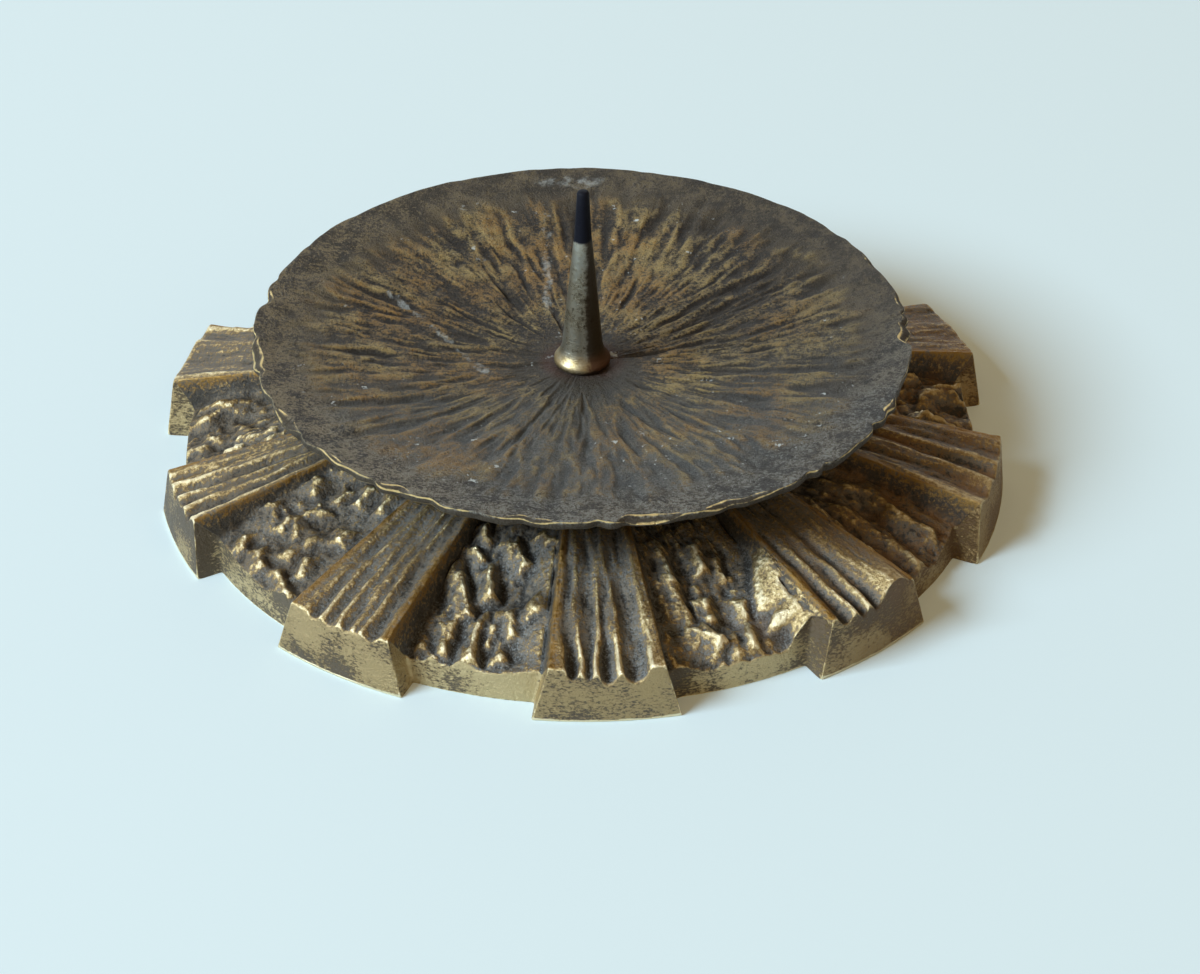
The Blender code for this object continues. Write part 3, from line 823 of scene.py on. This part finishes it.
def panMaterial(colours, grain):
    material, tree, sockets, place = newMaterial("panBronze")
    crest, stroke, radius, top = stored(tree, "crest", "stroke", "radiusMm", "top")
    rimSide, rimWorn = stored(tree, "rimSide", "rimWorn")
    across, ahead, _ = axesOf(vectorMath("SCALE", place, 1 / mm))
    cloud, speck, blotch, grit, coarse, hue, gilt, strewn, drops, dots, broken = noises(place, grain)
    mottle = coarse * 0.7 + blotch * 0.3
    near = between(ahead + (cloud - 0.5) * 40, 12, -34)
    band = between(radius + (blotch - 0.5) * 14, 42, 53)
    flecks = mixColour(near, colours["tan"], colours["light"])
    # bare strokes, in two hues, and bare lines round the rim
    warm = stroke + crest * 0.12 + (cloud - 0.5) * 1.2 + (blotch - 0.5) * 1.2 + (speck - 0.5) * 2.8
    warm = between(warm - near * 0.1, 0.45, 1.35) * between(radius, 5, 14, 0.5, 1)
    hue = between(hue + (speck - 0.5) * 0.8, 0.42, 0.62)
    drawn = mixColour(hue, colours["stroke"], colours["orange"])
    gilt = rimWorn * between(ahead, 28, -8, 0.35, 1) + (gilt - 0.5) * 4.0
    gilt = between(gilt, 0.6, 1.1) * between(rimWorn, 0.3, 0.7)
    # wax in strewn drops and dots and in broken trails
    strewn = between(strewn, 0.46, 0.58) * between(radius, 54, 45)
    dots = between(dots, 0.7, 0.75) * (near * 0.6 + 0.2) * strewn
    wax = calc("MAXIMUM", between(drops, 0.67, 0.73) * strewn, dots)
    broken = between(broken, 0.38, 0.66) * 0.45
    for first, second, wide in waxTrails:
        away = lineDistance(across, ahead, first, second) + (blotch - 0.5) * 5
        wax = calc("MAXIMUM", wax, between(away, wide, wide * 0.2) * broken)
    wax = wax * top
    dull = between(cloud * 0.6 + crest * 0.2 + (speck - 0.5) * 3.4 + (blotch - 0.5) * 0.8, 0.0, 0.65)
    colour = coated(mixColour(dull, colours["deep"], colours["brown"]), colours, (
        # painted bluish sheen of the backdrop on the front of the dish
        (near * between(coarse + blotch * 0.3, 0.61, 0.71), "blueSheen"),
        (band * between(coarse * 1.6 + cloud * 0.7, 1.05, 1.25), "band"),
        (warm, drawn),
        (between(grit * 0.4 + coarse * 0.6, 0.53, 0.6) * 0.85, "deep"),
        (between(mottle, 0.505, 0.545) * (band * 0.75 + near * 0.4), "deep"),
        (between(mottle, 0.49, 0.45) * (band * 0.5 + near * 0.45), flecks),
        # painted light: browner and lighter towards the left; painted shade: darker towards the right
        (between(across, -12, -48) * band * between(mottle, 0.52, 0.44) * 0.7, "tan"),
        (between(across, 8, 50) * 0.28, "deep"),
        # dark brown on the rim's side and cut facets: patina with painted shade
        (between(rimSide, 0.1, 0.5) * 0.85, "side"),
        (gilt, "gold"),
        (between(radius, 8.5, 5.5) * between(cloud, 0.4, 0.6) * 0.7, "stain"),
        (wax, "wax"),
    ))
    plug(sockets["Base Color"], colour)
    plug(sockets["Metallic"], (calc("MAXIMUM", warm * 0.6, gilt) * 0.75 + 0.25) * (1 - wax))
    plug(sockets["Roughness"], 0.55 - warm * 0.08 - gilt * 0.15 + (speck - 0.5) * 0.3)
    plug(sockets["Specular IOR Level"], 0.26 + near * 0.16 + warm * 0.2)
    plug(sockets["Normal"], bump(tree, speck + grit * 0.4 + cloud, 0.0005, 0.9))
    return material


pan = grownPiece(
    "cast_pan", panMesh(panShape, rimMarks), panTree(),
    {**panRelief, "Material": panMaterial(panColours, panGrain)},
)
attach(pan, "pan")
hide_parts("drip_pan")


# Pricket: a turned spike with a spread foot and a scorched tip

spikeShape = {
    "columns": 72,
    # radius and height from the tip down, round the foot and up the socket
    "profile": (
        (0, 53.85), (0.6, 53.85), (0.9, 53.7), (1.05, 53.4), (1.2, 50.6), (1.36, 47.4), (1.5, 44.9),
        (1.54, 44.5), (1.6, 44.3), (1.85, 41.6), (2.2, 38), (2.58, 33.9), (2.95, 30), (3.25, 26.7),
        (3.5, 24), (3.62, 23.3), (3.85, 22.6), (4.1, 22), (4.45, 21.5), (4.75, 21.15), (4.92, 20.85),
        (4.95, 20.55), (4.9, 20.15), (4.75, 19.95), (4.4, 19.9), (2.5, 19.9), (2.15, 20.25), (2.15, 28.9),
        (0, 29.9),
    ),
}
spikeColours = {
    "grey": (0.40, 0.415, 0.38), "brass": (0.42, 0.39, 0.30), "collar": (0.40, 0.31, 0.16),
    "stain": (0.022, 0.015, 0.009), "red": (0.055, 0.019, 0.011), "scorch": (0.004, 0.005, 0.011),
}


def lathe(name, profile, columns):
    # a closed turned skin; a profile point on the axis becomes one shared point
    around = np.linspace(0, 2 * math.pi, columns, endpoint=False)
    points, rings = [], []
    for radius, height in profile:
        if radius == 0:
            rings.append([len(points)] * columns)
            points.append((0, 0, height))
        else:
            rings.append(list(range(len(points), len(points) + columns)))
            points += [(radius * math.sin(angle), -radius * math.cos(angle), height) for angle in around]
    faces = []
    for upper, lower in zip(rings, rings[1:]):
        for here in range(columns):
            after = (here + 1) % columns
            corners = (upper[here], lower[here], lower[after], upper[after])
            faces.append([corner for spot, corner in enumerate(corners) if corner not in corners[:spot]])
    mesh = bpy.data.meshes.new(name)
    mesh.from_pydata([tuple(value * mm for value in place) for place in points], [], faces)
    mesh.shade_smooth()
    return mesh


def spikeMaterial(colours):
    material, tree, sockets, place = newMaterial("spikeBrass")
    across, _, height = axesOf(vectorMath("SCALE", place, 1 / mm))
    cloud = noise(place, 160.0, 4, 0.6)
    speck = noise(place, 1400.0, 3, 0.7)
    turned = noise(vectorMath("MULTIPLY", place, point(tree, 1.0, 1.0, 7.0)), 500.0, 2, 0.6)
    collar = between(height, 23.4, 21.8)
    scorch = between(height + (cloud - 0.5) * 2.5, 43.9, 44.5)
    grime = between(height + (speck - 0.5) * 1.2, 20.75, 20.35) * 0.9
    # painted shade: dark tarnish on the side away from the light, reddest at the collar
    aside = across * between(height, 24.0, 21.5, 1, 0.48)
    shadedSide = between(aside + (cloud - 0.5) * 1.6 + (speck - 0.5) * 1.5, -0.5, 0.9)
    shadeTarnish = mixColour(between(height, 24.0, 21.0), colours["stain"], colours["red"])
    colour = mixColour(between(cloud + (speck - 0.5) * 0.5, 0.35, 0.7), colours["grey"], colours["brass"])
    plug(sockets["Base Color"], coated(colour, colours, (
        (between(speck + cloud, 1.05, 1.25) * 0.7, "stain"),
        (collar * between(cloud, 0.3, 0.6), "collar"),
        (shadedSide * 0.95, shadeTarnish),
        (scorch, "scorch"),
        (grime, "stain"),
    )))
    # the painted shade also makes that side less metallic and less shiny
    dulled = calc("MAXIMUM", calc("MAXIMUM", scorch, grime), shadedSide * 0.9)
    rough = between(cloud, 0.3, 0.7, 0.37, 0.27) + scorch * 0.3 + collar * 0.12 + (speck - 0.5) * 0.2
    plug(sockets["Metallic"], 0.9 - dulled * 0.9)
    plug(sockets["Roughness"], rough)
    plug(sockets["Specular IOR Level"], 0.5 - dulled * 0.36)
    plug(sockets["Normal"], bump(tree, speck + turned, 0.00012, 0.5))
    return material


spikeMesh = lathe("pricket_spike", spikeShape["profile"], spikeShape["columns"])
spikeMesh.materials.append(spikeMaterial(spikeColours))
spike = newObject("pricket_spike", spikeMesh)
print("pricket_spike", len(spikeMesh.polygons), "faces")
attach(spike, "pricket")
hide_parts("pricket")


# Fixing stud with a real thread, and the nut and washer under the foot

studShape = {
    "radius": 1.98, "core": 1.4, "chamfer": 0.3, "low": 1.65, "high": 27.85, "columns": 28, "rowsPerTurn": 7,
}
threadShape = {"Depth": 0.0004, "Pitch": 0.0007}


def studMesh(shape, pitch):
    low, high, core = shape["low"], shape["high"], shape["core"]
    rows = int((high - low) / (pitch / mm) * shape["rowsPerTurn"])
    heights = np.linspace(high - shape["chamfer"], low + shape["chamfer"], rows)
    side = [(shape["radius"], height) for height in heights]
    return lathe("studRod", [(0, high), (core, high), *side, (core, low), (0, low)], shape["columns"])


def threadTree():
    tree, given = startTree("screwThread", threadShape)
    east, north, height = axesOf(field(tree, "GeometryNodeInputPosition"))
    angle = calc("ARCTAN2", north, east) / (2 * math.pi)
    away = calc("SQRT", east * east + north * north)
    wave = calc("PINGPONG", height / given["Pitch"] - angle, 0.5) * 2
    groove = between(wave, 0.12, 0.88) * given["Depth"] * between(away, 0.0015, 0.0018)
    share = (away - groove) / calc("MAXIMUM", away, 0.0001)
    spot = point(tree, east * share, north * share, height)
    geometry = geometryStep(tree, "GeometryNodeSetPosition", given["Geometry"], Position=spot)
    endTree(tree, geometry, given["Material"])
    return tree


steelColours = {"zinc": (0.52, 0.53, 0.54), "dull": (0.30, 0.30, 0.29), "rust": (0.16, 0.075, 0.03)}


def steelMaterial(colours):
    material, tree, sockets, place = newMaterial("zincedSteel")
    cloud = noise(place, 260.0, 4, 0.6)
    speck = noise(place, 2200.0, 3, 0.6)
    colour = mixColour(between(cloud, 0.35, 0.65), colours["zinc"], colours["dull"])
    rust = between(cloud + speck * 0.4, 0.82, 0.92)
    plug(sockets["Base Color"], mixColour(rust, colour, colours["rust"]))
    plug(sockets["Metallic"], 1 - rust * 0.8)
    plug(sockets["Roughness"], between(cloud, 0.3, 0.7, 0.28, 0.45) + rust * 0.3)
    plug(sockets["Normal"], bump(tree, speck, 0.00008, 0.4))
    return material


steel = steelMaterial(steelColours)
stud = grownPiece(
    "threaded_stud", studMesh(studShape, threadShape["Pitch"]), threadTree(),
    {**threadShape, "Material": steel},
)
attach(stud, "pricket")
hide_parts("fixing_stud")
for name in ("nut_washer", "hex_nut"):
    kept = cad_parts[name]
    kept.data.materials.clear()
    kept.data.materials.append(steel)


# Camera at the photo's place, worked out from the rib corners

cameraView = {
    "distance": 0.53327, "azimuth": -3.74, "elevation": 34.571, "yaw": -0.351, "pitch": -0.626, "roll": 0.267,
    "focalPixels": 2982.9, "imageWidth": 1200, "sensor": 36.0, "nearest": 0.01,
}


def placeCamera(view):
    def turned(degrees, axis):
        return Matrix.Rotation(math.radians(degrees), 4, axis)

    data = bpy.data.cameras.new("camera")
    data.sensor_width = view["sensor"]
    data.lens = view["sensor"] * view["focalPixels"] / view["imageWidth"]
    data.clip_start = view["nearest"]
    made = newObject("camera", data)
    # swung round the middle of the floor, then turned on its own axes
    place = turned(view["azimuth"], "Z") @ turned(90 - view["elevation"], "X")
    place = place @ Matrix.Translation((0, 0, view["distance"]))
    for name, axis in (("yaw", "Y"), ("pitch", "X"), ("roll", "Z")):
        place = place @ turned(view[name], axis)
    made.matrix_world = place
    scene.camera = made


placeCamera(cameraView)
print("camera placed")


# Floor and light

stageLook = {
    "floor": (0.70, 0.84, 0.93), "shownFloor": (0.60, 0.757, 0.868), "shadowTone": (0.0886, 0.0752, 0.0516),
    "floorSize": 12.0, "floorRoughness": 0.9, "world": (1.0, 0.69, 0.33), "worldStrength": 0.325,
}
# each lamp's place, width and height, power and colour; all are aimed at the middle of the floor
lamps = {
    "window": ((-3.25, -1.28, 2.47), (2.02, 1.72), 263.0, (0.77, 0.92, 1.0)),
    "backdrop": ((-0.3, 2.0, 0.75), (2.8, 1.1), 20.0, (0.72, 0.88, 1.0)),
    "fill": ((1.2, -1.5, 1.6), (1.2, 1.2), 2.5, (1.0, 0.84, 0.6)),
}


def makeStage(look):
    half = look["floorSize"] / 2
    mesh = bpy.data.meshes.new("floor")
    corners = [(-half, -half, 0), (half, -half, 0), (half, half, 0), (-half, half, 0)]
    mesh.from_pydata(corners, [], [(0, 1, 2, 3)])
    floor = newObject("floor", mesh)
    material, tree, sockets, _ = newMaterial("paleFloor")
    # what the camera and the metal see of the floor has softer shadows than what lights the object
    rays = tree.nodes.new("ShaderNodeLightPath").outputs
    seen = Wire(tree, rays["Is Camera Ray"])
    for kind in ("Is Glossy Ray", "Is Transmission Ray"):
        seen = calc("MAXIMUM", seen, Wire(tree, rays[kind]))
    plug(sockets["Base Color"], mixColour(seen, look["floor"], look["shownFloor"]))
    plug(sockets["Emission Color"], (*look["shadowTone"], 1))
    plug(sockets["Emission Strength"], seen)
    plug(sockets["Roughness"], look["floorRoughness"])
    mesh.materials.append(material)
    world = bpy.data.worlds.new("room")
    scene.world = world
    world.use_nodes = True
    back = world.node_tree.nodes["Background"]
    plug(back.inputs["Color"], (*look["world"], 1))
    plug(back.inputs["Strength"], look["worldStrength"])


def addLamp(name, place, size, power, colour):
    data = bpy.data.lights.new(name, "AREA")
    data.shape = "RECTANGLE"
    data.size, data.size_y = size
    data.energy = power
    data.color = colour
    made = newObject(name, data)
    made.location = place
    made.rotation_euler = (-Vector(place)).to_track_quat("-Z", "Y").to_euler()
    made.visible_diffuse = name != "backdrop"  # that one is only seen in the metal


makeStage(stageLook)
for name, settings in lamps.items():
    addLamp(name, *settings)
scene.view_settings.view_transform = "Standard"
print("stage and lamps placed")
